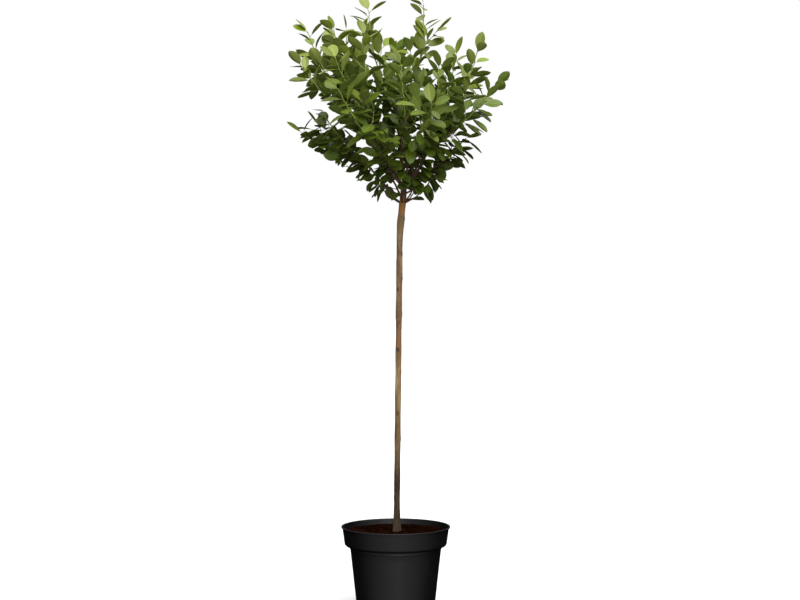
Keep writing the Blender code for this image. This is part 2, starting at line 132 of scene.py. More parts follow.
for lamp_name, turn, strength, angle in (
    ("ceiling_lamp", KEY_TURN, KEY_STRENGTH, KEY_ANGLE),
    ("front_lamp", FRONT_TURN, FRONT_STRENGTH, FRONT_ANGLE),
):
    bpy.ops.object.light_add(type="SUN", rotation=[math.radians(t) for t in turn])
    lamp = bpy.context.object
    lamp.name = lamp_name
    lamp.data.energy = strength
    lamp.data.angle = math.radians(angle)

room = bpy.data.worlds.new("soft_room")
room.use_nodes = True
bpy.context.scene.world = room
where = add_node(room, "ShaderNodeTexCoord").outputs["Generated"]
upward = add_node(room, "ShaderNodeSeparateXYZ", links={"Vector": where}).outputs["Z"]
ceiling = graded(room, upward, *CEILING_EDGE, BARE_WALL_LIGHT, CEILING_LIGHT, "SMOOTHSTEP")
forward = add_node(
    room, "ShaderNodeVectorMath", {"operation": "DOT_PRODUCT", 1: FRONT_WALL_WAY}, {0: where}
).outputs["Value"]
front_wall = graded(room, forward, *FRONT_WALL_EDGE, 0, FRONT_WALL_LIGHT, "SMOOTHSTEP")
both = add_node(room, "ShaderNodeMath", {"operation": "ADD"}, {0: ceiling, 1: front_wall})
path = add_node(room, "ShaderNodeLightPath")
# The camera itself sees plain white behind the plant
glow = add_node(
    room, "ShaderNodeMix", {"data_type": "FLOAT", 3: 1},
    {0: path.outputs["Is Camera Ray"], 2: both.outputs["Value"]},
)
background = room.node_tree.nodes["Background"]
background.inputs["Color"].default_value = linear("ffffff")
room.node_tree.links.new(glow.outputs[0], background.inputs["Strength"])

bpy.ops.object.select_all(action="DESELECT")
bpy.ops.mesh.primitive_circle_add(vertices=GROUND_SIDES, radius=GROUND_RADIUS, fill_type="NGON")
ground = bpy.context.object
ground.name = "ground"
ground.data.materials.append(new_finish("matt_white_paint", "f4f4f2", 0.9)[0])
ground.visible_diffuse = False
ground.visible_glossy = False
ground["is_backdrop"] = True

# The pot is a nursery container, injection moulded in thin black polypropylene: a tapered body, a shoulder
# that steps out to a deep band round its mouth, and a narrow lip. Water leaves by holes in its flat base.
POT_HEIGHT = 225 * MM
LIP_RADIUS = 140 * MM
LIP_DEPTH = 3 * MM
BAND_TOP_RADIUS = 137.5 * MM
BAND_FOOT_RADIUS = 131.5 * MM
BAND_DEPTH = 43 * MM
BAND_FOOT = POT_HEIGHT - BAND_DEPTH
BAND_HOLD = 3 * MM
SHOULDER_DEPTH = 8 * MM
SHOULDER_STEPS = 7
BODY_TOP_RADIUS = 117.5 * MM
BODY_FOOT_RADIUS = 98 * MM
FOOT_FILLET = 4 * MM
FILLET_STEPS = 4
BEAD_FOOT = 166.5 * MM
BEAD_TOP = 169.5 * MM
BEAD_RISE = 0.7 * MM
BODY_RINGS = 8
WALL = 2 * MM
BASE_THICKNESS = 2.6 * MM
POT_SIDES = 128
POT_EDGE = 0.6 * MM
DRAIN_HOLES = 8
DRAIN_RADIUS = 6 * MM
DRAIN_CIRCLE = 70 * MM
DRAIN_SIDES = 24
SHARP_ABOVE = 32


def only(piece):
    """Selects one piece and makes it the active one."""
    bpy.ops.object.select_all(action="DESELECT")
    piece.select_set(True)
    bpy.context.view_layer.objects.active = piece


def pick(test):
    """In edit mode, selects the corners for which the test holds, with the edges and faces between them."""
    bpy.ops.mesh.select_all(action="DESELECT")
    shape = bmesh.from_edit_mesh(bpy.context.edit_object.data)
    for corner in shape.verts:
        corner.select = test(corner.co)
    shape.select_flush(True)
    bmesh.update_edit_mesh(bpy.context.edit_object.data)


def throw_ring(ring):
    """Extrudes the selected ring to a new height and radius, as a pot is thrown on a wheel."""
    radius, height = ring
    shape = bmesh.from_edit_mesh(bpy.context.edit_object.data)
    here = next(corner.co.copy() for corner in shape.verts if corner.select)
    bpy.ops.mesh.extrude_region_move(TRANSFORM_OT_translate={"value": (0, 0, height - here.z)})
    share = radius / math.hypot(here.x, here.y)
    bpy.ops.transform.resize(value=(share, share, 1))


def apply_all(piece):
    """Applies a piece's modifiers, from the first to the last."""
    only(piece)
    for modifier in list(piece.modifiers):
        bpy.ops.object.modifier_apply(modifier=modifier.name)


def pot_wall(inset, top, foot):
    """The pot's side as (radius, height) rings from top to foot, moved inward by inset."""
    shoulder_foot = BAND_FOOT - SHOULDER_DEPTH + inset
    run = BAND_FOOT_RADIUS - BODY_TOP_RADIUS
    band_slope = (BAND_TOP_RADIUS - BAND_FOOT_RADIUS) / BAND_DEPTH
    rings = []
    for height in (top, top - BAND_HOLD, BAND_FOOT + BAND_HOLD):
        rings.append((BAND_FOOT_RADIUS + band_slope * (height - BAND_FOOT) - inset, height))
    for step in range(SHOULDER_STEPS + 1):
        turn = 0.5 * math.pi * step / SHOULDER_STEPS
        radius = BODY_TOP_RADIUS + run * math.cos(turn) - inset
        rings.append((radius, BAND_FOOT + inset - SHOULDER_DEPTH * math.sin(turn)))
    body_slope = (BODY_TOP_RADIUS - BODY_FOOT_RADIUS) / shoulder_foot
    if not inset:
        raised = (BEAD_TOP - BEAD_RISE, BEAD_FOOT + BEAD_RISE)
        for height in (BEAD_TOP, *raised, BEAD_FOOT):
            rise = BEAD_RISE if height in raised else 0
            rings.append((BODY_FOOT_RADIUS + body_slope * height + rise, height))
    start = BEAD_FOOT if not inset else shoulder_foot
    for step in range(1, BODY_RINGS + 1):
        height = start + (foot - start) * step / BODY_RINGS
        rings.append((BODY_FOOT_RADIUS + body_slope * height - inset, height))
    return rings


bpy.ops.object.select_all(action="DESELECT")
bpy.ops.mesh.primitive_circle_add(
    vertices=POT_SIDES, radius=BODY_FOOT_RADIUS - FOOT_FILLET, fill_type="NGON"
)
pot = bpy.context.object
pot.name = "nursery_pot"
bpy.ops.object.mode_set(mode="EDIT")
for step in range(1, FILLET_STEPS):
    turn = 0.5 * math.pi * step / FILLET_STEPS
    fillet_radius = BODY_FOOT_RADIUS - FOOT_FILLET + FOOT_FILLET * math.sin(turn)
    throw_ring((fillet_radius, FOOT_FILLET * (1 - math.cos(turn))))
for ring in reversed(pot_wall(0, POT_HEIGHT - LIP_DEPTH, FOOT_FILLET)):
    throw_ring(ring)
throw_ring((LIP_RADIUS, POT_HEIGHT - LIP_DEPTH))
throw_ring((LIP_RADIUS, POT_HEIGHT))
for ring in pot_wall(WALL, POT_HEIGHT, BASE_THICKNESS):
    throw_ring(ring)
bpy.ops.mesh.select_all(action="SELECT")
bpy.ops.mesh.normals_make_consistent(inside=False)
bpy.ops.object.mode_set(mode="OBJECT")

drills = []
for hole in range(DRAIN_HOLES):
    turn = 2 * math.pi * (hole + 0.5) / DRAIN_HOLES
    bpy.ops.mesh.primitive_cylinder_add(
        vertices=DRAIN_SIDES, radius=DRAIN_RADIUS, depth=4 * BASE_THICKNESS,
        location=(DRAIN_CIRCLE * math.cos(turn), DRAIN_CIRCLE * math.sin(turn), 0),
    )
    drills.append(bpy.context.object)
bpy.ops.object.select_all(action="DESELECT")
for drill in drills:
    drill.select_set(True)
bpy.ops.object.join()
drill = bpy.context.object
punched = pot.modifiers.new("drain_holes", "BOOLEAN")
punched.object = drill
punched.solver = "EXACT"
rounded = pot.modifiers.new("moulded_edges", "BEVEL")
rounded.width = POT_EDGE
rounded.segments = 2
rounded.limit_method = "ANGLE"
rounded.angle_limit = math.radians(SHARP_ABOVE)
apply_all(pot)
bpy.ops.object.shade_smooth_by_angle(angle=math.radians(SHARP_ABOVE))
bpy.data.objects.remove(drill, do_unlink=True)

# Polypropylene straight from the mould: near black, satin, and a little uneven in gloss where it has been
# handled. Fine dust from the compost greys the foot of the body.
SCUFF_SIZE = 14 * MM
# Nearly all of a noise pattern lies in this range
NOISE_RANGE = (0.3, 0.7)
SATIN_RANGE = (0.36, 0.48)
DUST_HEIGHT = 45 * MM
DUST_MOST = 0.5
GRAIN_SIZE = 0.9 * MM
GRAIN_DEPTH = 0.02 * MM


def noise(owner, place, size, detail, roughness=0.5, **more):
    """A cloudy pattern from 0 to 1, with lumps of one size."""
    settings = {"Scale": 1 / size, "Detail": detail, "Roughness": roughness, **more}
    return add_node(owner, "ShaderNodeTexNoise", settings, {"Vector": place}).outputs["Fac"]


def blend(owner, share, under, over, kind="MIX"):
    """Lays one colour over another by a share. Each is a hex colour, a number or another node's output."""
    node = add_node(owner, "ShaderNodeMix", {"data_type": "RGBA", "blend_type": kind})
    for index, value in ((0, share), (6, under), (7, over)):
        if isinstance(value, bpy.types.NodeSocket):
            owner.node_tree.links.new(value, node.inputs[index])
        else:
            node.inputs[index].default_value = linear(value) if isinstance(value, str) else value
    return node.outputs[2]


def roughen(owner, shader, height, strength, depth):
    """Gives a finish its fine relief, from a pattern."""
    relief = add_node(
        owner, "ShaderNodeBump", {"Strength": strength, "Distance": depth}, {"Height": height}
    )
    owner.node_tree.links.new(relief.outputs["Normal"], shader.inputs["Normal"])


plastic, shader = new_finish("satin_black_polypropylene", "060606", 0.42, 1.49, 0.38)
place = add_node(plastic, "ShaderNodeTexCoord").outputs["Object"]
scuffs = noise(plastic, place, SCUFF_SIZE, 6, 0.65)
gloss = graded(plastic, scuffs, *NOISE_RANGE, *SATIN_RANGE)
height_up = add_node(plastic, "ShaderNodeSeparateXYZ", links={"Vector": place}).outputs["Z"]
low_down = graded(plastic, height_up, 0, DUST_HEIGHT, DUST_MOST, 0)
dusty = add_node(plastic, "ShaderNodeMath", {"operation": "MULTIPLY"}, {0: scuffs, 1: low_down})
tone = blend(plastic, dusty.outputs["Value"], "060606", "1e1a16")
plastic.node_tree.links.new(tone, shader.inputs["Base Color"])
plastic.node_tree.links.new(gloss, shader.inputs["Roughness"])
roughen(plastic, shader, noise(plastic, place, GRAIN_SIZE, 2), 0.5, GRAIN_DEPTH)
pot.data.materials.append(plastic)
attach(pot, "root")
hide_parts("pot")

# The compost is peat with shredded bark. It fills the pot to a finger's width below the lip, has settled
# into low humps with watering, and its crumbs and bark chips lie loose on top.
SOIL_LEVEL = 211 * MM
GAP = 0.3 * MM
SOIL_RINGS = 54
SOIL_EYE = 1.5 * MM
HUMP_SIZE = 26 * MM
HUMP_HEIGHT = 4 * MM
LUMP_SIZE = 5 * MM
LUMP_HEIGHT = 2.6 * MM
SOIL_FINENESS = 3
SOIL_EDGE = 2 * MM
CRUMBS = 1500
CRUMB_SIZES = (0.9 * MM, 2.6 * MM)
CHIPS = 170
CHIP_SIZES = (2.5 * MM, 5.5 * MM)
SOIL_SEED = 4


class Form:
    """A shape modelled once: its corners and faces as arrays, and the part that each face belongs to."""

    def __init__(self, piece, part_of=None):
        mesh = piece.data
        corners = [corner.co.copy() for corner in mesh.vertices]
        self.corners = np.array(corners)
        self.loops = np.array([loop.vertex_index for loop in mesh.loops])
        self.counts = np.array([face.loop_total for face in mesh.polygons])
        self.parts = np.zeros(len(mesh.polygons), int)
        if part_of:
            for face in mesh.polygons:
                self.parts[face.index] = part_of(face, [corners[c] for c in face.vertices])
        bpy.data.objects.remove(piece, do_unlink=True)


def join_copies(name, copies, finishes):
    """One piece made of many copies. Each is (form, axes as columns, foot, the finish of each part)."""
    corners, loops, counts, slots = [], [], [], []
    first = 0
    for form, axes, foot, tints in copies:
        corners.append(form.corners @ np.array(axes).T + np.array(foot))
        loops.append(form.loops + first)
        counts.append(form.counts)
        slots.append(np.array(tints)[form.parts])
        first += len(form.corners)
    counts = np.concatenate(counts)
    mesh = bpy.data.meshes.new(name)
    mesh.vertices.add(first)
    mesh.vertices.foreach_set("co", np.concatenate(corners).ravel())
    mesh.loops.add(int(counts.sum()))
    mesh.loops.foreach_set("vertex_index", np.concatenate(loops))
    mesh.polygons.add(len(counts))
    mesh.polygons.foreach_set("loop_start", np.cumsum(counts) - counts)
    for finish in finishes:
        mesh.materials.append(finish)
    mesh.polygons.foreach_set("material_index", np.concatenate(slots))
    mesh.update(calc_edges=True)
    piece = bpy.data.objects.new(name, mesh)
    bpy.context.scene.collection.objects.link(piece)
    return piece


def raise_lumps(piece, name, size, height, fineness):
    """Adds a modifier that raises and sinks a piece's surface in soft lumps of one size, and returns it."""
    lumps = bpy.data.textures.new(name, "CLOUDS")
    lumps.noise_scale = size
    lumps.noise_depth = fineness
    raised = piece.modifiers.new(name, "DISPLACE")
    raised.texture = lumps
    raised.strength = height
    return raised


soil_side = pot_wall(WALL + GAP, SOIL_LEVEL, BASE_THICKNESS + GAP)
soil_rim = soil_side[0][0]
bpy.ops.object.select_all(action="DESELECT")
bpy.ops.mesh.primitive_circle_add(
    vertices=POT_SIDES, radius=soil_side[-1][0], fill_type="NGON", location=(0, 0, soil_side[-1][1])
)
compost = bpy.context.object
compost.name = "compost_fill"
bpy.ops.object.transform_apply(location=True)
bpy.ops.object.mode_set(mode="EDIT")
for ring in reversed(soil_side[:-1]):
    throw_ring(ring)
for step in range(1, SOIL_RINGS + 1):
    throw_ring((soil_rim + (SOIL_EYE - soil_rim) * step / SOIL_RINGS, SOIL_LEVEL))
bpy.ops.mesh.select_all(action="SELECT")
bpy.ops.mesh.normals_make_consistent(inside=False)
bpy.ops.object.mode_set(mode="OBJECT")
loose_top = [
    corner.index
    for corner in compost.data.vertices
    if corner.co.z > SOIL_LEVEL - MM and math.hypot(corner.co.x, corner.co.y) < soil_rim - SOIL_EDGE
]
compost.vertex_groups.new(name="loose_top").add(loose_top, 1, "REPLACE")
for name, size, height in (("humps", HUMP_SIZE, HUMP_HEIGHT), ("lumps", LUMP_SIZE, LUMP_HEIGHT)):
    raised = raise_lumps(compost, name, size, height, SOIL_FINENESS)
    raised.vertex_group = "loose_top"
    raised.direction = "Z"
apply_all(compost)
compost.vertex_groups.clear()
bpy.ops.object.shade_smooth()

# Damp peat is nearly black brown and quite dull. Its tone wanders with the damp, and short fibres of
# shredded bark, two or three millimetres long, show as paler flecks.
DAMP_SIZE = 18 * MM
FIBRE_SIZE = 2.4 * MM
FIBRE_DEPTH = 0.6 * MM
FLECK_EDGE = (0.58, 0.72)
peat, shader = new_finish("damp_peat", "140602", 0.92, 1.4, 0)
place = add_node(peat, "ShaderNodeTexCoord").outputs["Object"]
damp = blend(peat, noise(peat, place, DAMP_SIZE, 5), "0f0502", "170804")
fibres = noise(peat, place, FIBRE_SIZE, 4, 0.7)
flecked = blend(peat, graded(peat, fibres, *FLECK_EDGE), damp, "1f0d07")
peat.node_tree.links.new(flecked, shader.inputs["Base Color"])
roughen(peat, shader, fibres, 0.8, FIBRE_DEPTH)
compost.data.materials.append(peat)
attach(compost, "root")
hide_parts("soil")

# Crumbs are rounded and uneven, chips are flat splinters, and each is modelled with half its length as 1
CRUMB_SHAPES = 3
CRUMB_HALVES = (1, 0.8, 0.62)
CRUMB_UNEVEN = 0.45
CHIP_HALVES = (1, 0.42, 0.2)
CHIP_UNEVEN = 0.13
CHIPS_OF_BARK = 0.6
LOOSE_TILT = 0.3
LOOSE_SPIN = 7
LOOSE_LIFT = 0.25
crumb_forms = []
for seed in range(CRUMB_SHAPES):
    bpy.ops.object.select_all(action="DESELECT")
    bpy.ops.mesh.primitive_ico_sphere_add(subdivisions=1, radius=1)
    crumb = bpy.context.object
    bpy.ops.object.mode_set(mode="EDIT")
    bpy.ops.mesh.select_all(action="SELECT")
    bpy.ops.transform.vertex_random(offset=CRUMB_UNEVEN, seed=seed)
    bpy.ops.transform.resize(value=CRUMB_HALVES)
    bpy.ops.object.mode_set(mode="OBJECT")
    crumb_forms.append(Form(crumb))
bpy.ops.object.select_all(action="DESELECT")
bpy.ops.mesh.primitive_cube_add(size=2)
chip = bpy.context.object
bpy.ops.object.mode_set(mode="EDIT")
bpy.ops.mesh.subdivide(number_cuts=1)
bpy.ops.transform.resize(value=CHIP_HALVES)
bpy.ops.transform.vertex_random(offset=CHIP_UNEVEN, seed=SOIL_SEED)
bpy.ops.object.mode_set(mode="OBJECT")
chip_form = Form(chip)

rng = random.Random(SOIL_SEED)
bpy.context.view_layer.update()
crumbs = []
for crumb in range(CRUMBS + CHIPS):
    is_chip = crumb >= CRUMBS
    size = rng.uniform(*(CHIP_SIZES if is_chip else CRUMB_SIZES))
    reach = math.sqrt(rng.random()) * (soil_rim - SOIL_EDGE - size)
    turn = rng.uniform(0, 2 * math.pi)
    spot = Vector((reach * math.cos(turn), reach * math.sin(turn), POT_HEIGHT))
    hit, surface, slope, face = compost.ray_cast(spot, (0, 0, -1))
    lie = slope.to_track_quat("Z", "X").to_matrix()
    spin = turn * LOOSE_SPIN
    points_to = Vector((math.cos(spin), math.sin(spin), rng.uniform(-LOOSE_TILT, LOOSE_TILT)))
    axes = lie @ points_to.to_track_quat("X", "Z").to_matrix() * size
    form = chip_form if is_chip else rng.choice(crumb_forms)
    tint = 2 if is_chip and rng.random() < CHIPS_OF_BARK else rng.choice((0, 0, 1))
    crumbs.append((form, axes, surface + slope * size * LOOSE_LIFT, [tint]))
# Crumbs of black peat, of brown peat, and chips of composted pine bark, each of one dull colour
crumb_finishes = [
    new_finish("black_peat", "100502", 0.95, 1.4, 0)[0],
    new_finish("brown_peat", "190904", 0.95, 1.4, 0)[0],
    new_finish("composted_bark", "26120a", 0.88, 1.4, 0)[0],
]
loose = join_copies("loose_crumbs", crumbs, crumb_finishes)
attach(loose, "root")

# The stem is one straight rootstock about as thick as a thumb, with the flare of its roots at the compost,
# a swollen graft union near the top, a crook above it, and a knot wherever a side shoot was cut away.
STEM_RADIUS = 7.8 * MM
STEM_FOOT_OFFSET = 2.3 * MM
STEM_LEAN = 9 * MM
STEM_BOW = 3 * MM
CROOK_START = 0.87
CROOK_LIMIT = 1.2
CROOK_POWER = 1.5
CROOK = 8 * MM
ROOT_FLARE = 3.4 * MM
FLARE_HEIGHT = 24 * MM
FLARE_LOBES = 5
FLARE_LOBE_SHARE = 0.45
RIPPLE = 0.35 * MM
RIPPLE_LENGTH = 17 * MM
GRAFT_HEIGHT = 1006 * MM
GRAFT_SWELLING = 1.7 * MM
GRAFT_LENGTH = 18 * MM
HEAD_HEIGHT = 1071 * MM
HEAD_SWELLING = 1.4 * MM
HEAD_LENGTH = 22 * MM
STEM_TOP = 1124 * MM
STEM_TIP_RADIUS = 4.2 * MM
STEM_SIDES = 48
STEM_CUTS = 520
STEM_SUNK = 6 * MM
# Each knot: its height, the bearing it faces in degrees from +X, how far it stands out, and its size. All
# but the bearing are in millimetres
KNOTS = (
    (1017, 350, 1.5, 6), (924, 322, 1.1, 5), (864, 348, 1.5, 5), (833, 238, 1, 5), (768, 345, 1, 4),
    (678, 255, 0.9, 6), (620, 350, 1.3, 5), (515, 268, 0.8, 5), (452, 345, 1.2, 4), (348, 262, 0.8, 5),
    (742, 80, 1.2, 5), (572, 130, 1.2, 5), (404, 60, 1, 4), (903, 150, 1.2, 5), (296, 170, 1, 4),
)
# As shares of a knot's size or rise: its reach, the dip in its middle, the dip's size and the scar's
KNOT_REACH = 2.5
KNOT_DIP = 0.45
KNOT_DIP_SIZE = 0.35
SCAR_SIZE = 0.75
BARK_LUMP = 3.2 * MM
BARK_RELIEF = 0.55 * MM
BARK_FINENESS = 2
WOOD_SHARP_ABOVE = 60


def bump(height, middle, length):
    """A rounded swelling, 1 at its middle."""
    return math.exp(-(((height - middle) / length) ** 2))


def stem_axis(height):
    """The stem's centre line: a slight lean, a slight bow, and the crook above the graft."""
    share = (height - SOIL_LEVEL) / (HEAD_HEIGHT - SOIL_LEVEL)
    crook = max(0, share - CROOK_START) / (1 - CROOK_START)
    x = STEM_FOOT_OFFSET + STEM_LEAN * share + CROOK * min(crook, CROOK_LIMIT) ** CROOK_POWER
    y = STEM_BOW * math.sin(math.pi * min(share, 1))
    return Vector((x, y, height))


def stem_radius(height, turn):
    """The stem's radius, with its root flare, the swollen graft union and the thick head."""
    above = max(0, height - SOIL_LEVEL)
    flare = ROOT_FLARE * math.exp(-above / FLARE_HEIGHT)
    radius = STEM_RADIUS + flare * (1 + FLARE_LOBE_SHARE * math.cos(FLARE_LOBES * turn))
    radius += GRAFT_SWELLING * bump(height, GRAFT_HEIGHT, GRAFT_LENGTH)
    radius += HEAD_SWELLING * bump(height, HEAD_HEIGHT - HEAD_LENGTH, HEAD_LENGTH)
    radius += RIPPLE * math.sin(above / RIPPLE_LENGTH + 2 * math.sin(turn))
    taper = max(0, height - HEAD_HEIGHT) / (STEM_TOP - HEAD_HEIGHT)
    return radius + (STEM_TIP_RADIUS - STEM_RADIUS) * taper


def knot_at(height, turn):
    """How far the knots stand out here, and how much of their scar shows, from 0 to 1."""
    rise = scar = 0
    for middle, bearing, out, size in KNOTS:
        across = STEM_RADIUS * math.remainder(turn - math.radians(bearing), 2 * math.pi)
        away = math.hypot(height - middle * MM, across) / (size * MM)
        if away < KNOT_REACH:
            rise += out * MM * (bump(away, 0, 1) - KNOT_DIP * bump(away, 0, KNOT_DIP_SIZE))
            scar = max(scar, bump(away, 0, SCAR_SIZE))
    return rise, scar


bpy.ops.object.select_all(action="DESELECT")
stem_foot = SOIL_LEVEL - STEM_SUNK
bpy.ops.mesh.primitive_cylinder_add(
    vertices=STEM_SIDES, radius=STEM_RADIUS, depth=STEM_TOP - stem_foot,
    location=(0, 0, (STEM_TOP + stem_foot) / 2),
)
stem = bpy.context.object
stem.name = "grafted_stem"
bpy.ops.object.transform_apply(location=True)
bpy.ops.object.mode_set(mode="EDIT")
shape = bmesh.from_edit_mesh(stem.data)
for edge in shape.edges:
    edge.select = abs(edge.verts[0].co.z - edge.verts[1].co.z) > MM
bmesh.update_edit_mesh(stem.data)
bpy.ops.mesh.subdivide(number_cuts=STEM_CUTS)
bpy.ops.object.mode_set(mode="OBJECT")
scars = stem.data.attributes.new("scar", "FLOAT", "POINT")
for corner in stem.data.vertices:
    height = corner.co.z
    turn = math.atan2(corner.co.y, corner.co.x)
    rise, scar = knot_at(height, turn)
    radius = stem_radius(height, turn) + rise
    corner.co = stem_axis(height) + Vector((radius * math.cos(turn), radius * math.sin(turn), 0))
    scars.data[corner.index].value = scar
raise_lumps(stem, "stem_bark", BARK_LUMP, BARK_RELIEF, BARK_FINENESS)
apply_all(stem)
bpy.ops.object.shade_smooth_by_angle(angle=math.radians(WOOD_SHARP_ABOVE))

# Bark of the young rootstock: a thin grey tan skin, pinkish and olive in long patches, with raised corky
# lenticels that run round the stem, and dark scars at the knots. It grows darker towards the compost, and
# above the union it turns to the scion's orange tan and then red brown.
PATCH_AROUND = 16 * MM
PATCH_ALONG = 75 * MM
GRAIN_AROUND = 1.1 * MM
GRAIN_ALONG = 14 * MM
LENTICEL_AROUND = 7 * MM
LENTICEL_ALONG = 4.2 * MM
LENTICEL_EDGE = (0.1, 0.24)
GRAIN_SHADES = (0.6, 1.2)
PATCH_EDGE = (0.46, 0.62)
PATCH_SHIFT = 3.7
SKIN_DEPTH = 0.35 * MM
# Each zone: where its tint begins to show, where it shows most, the tint, and how much shows there
STEM_ZONES = (
    # The lower stem turns nearly black from about half a metre down
    (530 * MM, 330 * MM, "170f0a", 0.85),
    (GRAFT_HEIGHT - 45 * MM, GRAFT_HEIGHT - 5 * MM, "75603e", 0.7),
    (GRAFT_HEIGHT + 16 * MM, GRAFT_HEIGHT + 26 * MM, "a9743f", 0.75),
    (HEAD_HEIGHT - 16 * MM, HEAD_HEIGHT + 6 * MM, "5a3f34", 0.95),
)


def stretched(owner, place, around, along):
    """Measures place so that a pattern's cells are this large around the stem and along it."""
    scale = {"Scale": (1 / around, 1 / around, 1 / along)}
    return add_node(owner, "ShaderNodeMapping", scale, {"Vector": place}).outputs["Vector"]


def bark(name, skin, patches, lenticel, lenticel_share, roughness):
    """A cherry bark: its skin, the tints that lie over it in long patches, and its lenticels."""
    finish, shader = new_finish(name, skin, roughness, 1.48, 0.3)
    place = add_node(finish, "ShaderNodeTexCoord").outputs["Object"]
    long_way = stretched(finish, place, PATCH_AROUND, PATCH_ALONG)
    colour = skin
    for index, tint in enumerate(patches):
        patch = noise(finish, long_way, 1, 4, 0.6, noise_dimensions="4D", W=PATCH_SHIFT * index)
        colour = blend(finish, graded(finish, patch, *PATCH_EDGE), colour, tint)
    grain = noise(finish, stretched(finish, place, GRAIN_AROUND, GRAIN_ALONG), 1, 3)
    shadow = graded(finish, grain, *NOISE_RANGE, *GRAIN_SHADES)
    colour = blend(finish, 1, colour, shadow, "MULTIPLY")
    short_way = stretched(finish, place, LENTICEL_AROUND, LENTICEL_ALONG)
    cells = add_node(finish, "ShaderNodeTexVoronoi", {"Scale": 1, "Randomness": 1}, {"Vector": short_way})
    cork = graded(finish, cells.outputs["Distance"], *LENTICEL_EDGE, lenticel_share, 0)
    colour = blend(finish, cork, colour, lenticel)
    raised = add_node(finish, "ShaderNodeMath", {"operation": "ADD"}, {0: cork, 1: grain})
    roughen(finish, shader, raised.outputs["Value"], 0.7, SKIN_DEPTH)
    finish.node_tree.links.new(colour, shader.inputs["Base Color"])
    return finish, shader, place, colour


stem_skin, shader, place, colour = bark(
    "grey_tan_cherry_bark", "826a46", ("61492f", "7f5940", "9c8862"), "4b3a29", 0.55, 0.85
)
height_up = add_node(stem_skin, "ShaderNodeSeparateXYZ", links={"Vector": place}).outputs["Z"]
for low, high, tint, most in STEM_ZONES:
    colour = blend(stem_skin, graded(stem_skin, height_up, low, high, 0, most), colour, tint)
scar = add_node(stem_skin, "ShaderNodeAttribute", {"attribute_name": "scar"}).outputs["Fac"]
stem_skin.node_tree.links.new(blend(stem_skin, scar, colour, "33261d"), shader.inputs["Base Color"])
stem.data.materials.append(stem_skin)
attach(stem, "root")
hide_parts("stem")

# The boughs are two years old. Thirteen leave the head above the union, each a slim tapering limb that
# bends up and ends in the mass of whips and leaves that it carries.
BOUGH_ROOT_RADIUS = 2.8 * MM
BOUGH_TIP_RADIUS = 2.5 * MM
BOUGH_SHARE = 0.26
LOWEST_BOUGH = 1066 * MM
HIGHEST_BOUGH = 1116 * MM
FORK_SHARE = 0.40
FORK_LEAN = 0.94
LIMB_SPREAD = 1.3
LIMB_STEPS = 24
WHIP_BOW = 0.13
WHIP_STEPS = 16
WHIP_SUNK = 0.04
WHIP_REACH_ON = 14 * MM
BOUGH_POINT_EVERY = 2 * MM
BOUGH_ROUNDNESS = 6
BOUGH_LUMP = 2.2 * MM
BOUGH_RELIEF = 0.4 * MM
# Each limb's whips: the bearing of the tip in degrees from +X, its lean from upright, and its reach in
# millimetres from the middle of the head
LIMBS = {
    "left": ((178, 30, 478), (193, 39, 405), (174, 19, 440)),
    "left_low": ((170, 53, 279), (143, 56, 261), (182, 58, 292), (190, 44, 288)),
    "left_back": ((149, 27, 450), (125, 42, 388)),
    "left_front": ((190, 23, 444), (212, 16, 405), (219, 33, 385)),
    "top": ((162, 11, 476), (30, 7, 488)),
    "back": ((100, 22, 392), (95, 36, 400)),
    "back_low": ((90, 56, 265),),
    "right_back": ((38, 25, 402), (60, 43, 372)),
    "right": ((3, 27, 405), (353, 40, 356), (20, 21, 345)),
    "right_low": ((12, 47, 212), (46, 55, 238)),
    "right_front": ((303, 28, 334), (333, 44, 315)),
    "front": ((268, 29, 347), (286, 51, 312)),
    "front_left": ((232, 46, 345), (259, 60, 235)),
}
UP = Vector((0, 0, 1))
EAST = Vector((1, 0, 0))


def heading(bearing, lean):
    """The unit vector that points to a bearing, at a lean from upright, both in degrees."""
    turn, tilt = math.radians(bearing), math.radians(lean)
    level = math.sin(tilt)
    return Vector((level * math.cos(turn), level * math.sin(turn), math.cos(tilt)))


def arc(start, steer, end, steps):
    """Points along the quadratic curve from start to end that bends towards steer."""
    line = []
    for step in range(steps + 1):
        t = step / steps
        line.append(start * (1 - t) ** 2 + steer * (2 * t * (1 - t)) + end * t**2)
    return line


def length_of(line):
    return sum((b - a).length for a, b in zip(line, line[1:]))


def point_along(line, distance):
    """The point and the direction at a distance along a line."""
    walked = 0
    for a, b in zip(line, line[1:]):
        step = (b - a).length
        if walked + step >= distance:
            return a.lerp(b, (distance - walked) / step), (b - a).normalized()
        walked += step
    return line[-1].copy(), (line[-1] - line[-2]).normalized()


def cut_line(line, start, end):
    """The part of a line between two distances along it."""
    inner, walked = [], 0
    for a, b in zip(line, line[1:]):
        walked += (b - a).length
        if start + MM < walked < end - MM:
            inner.append(b)
    return [point_along(line, start)[0], *inner, point_along(line, end)[0]]


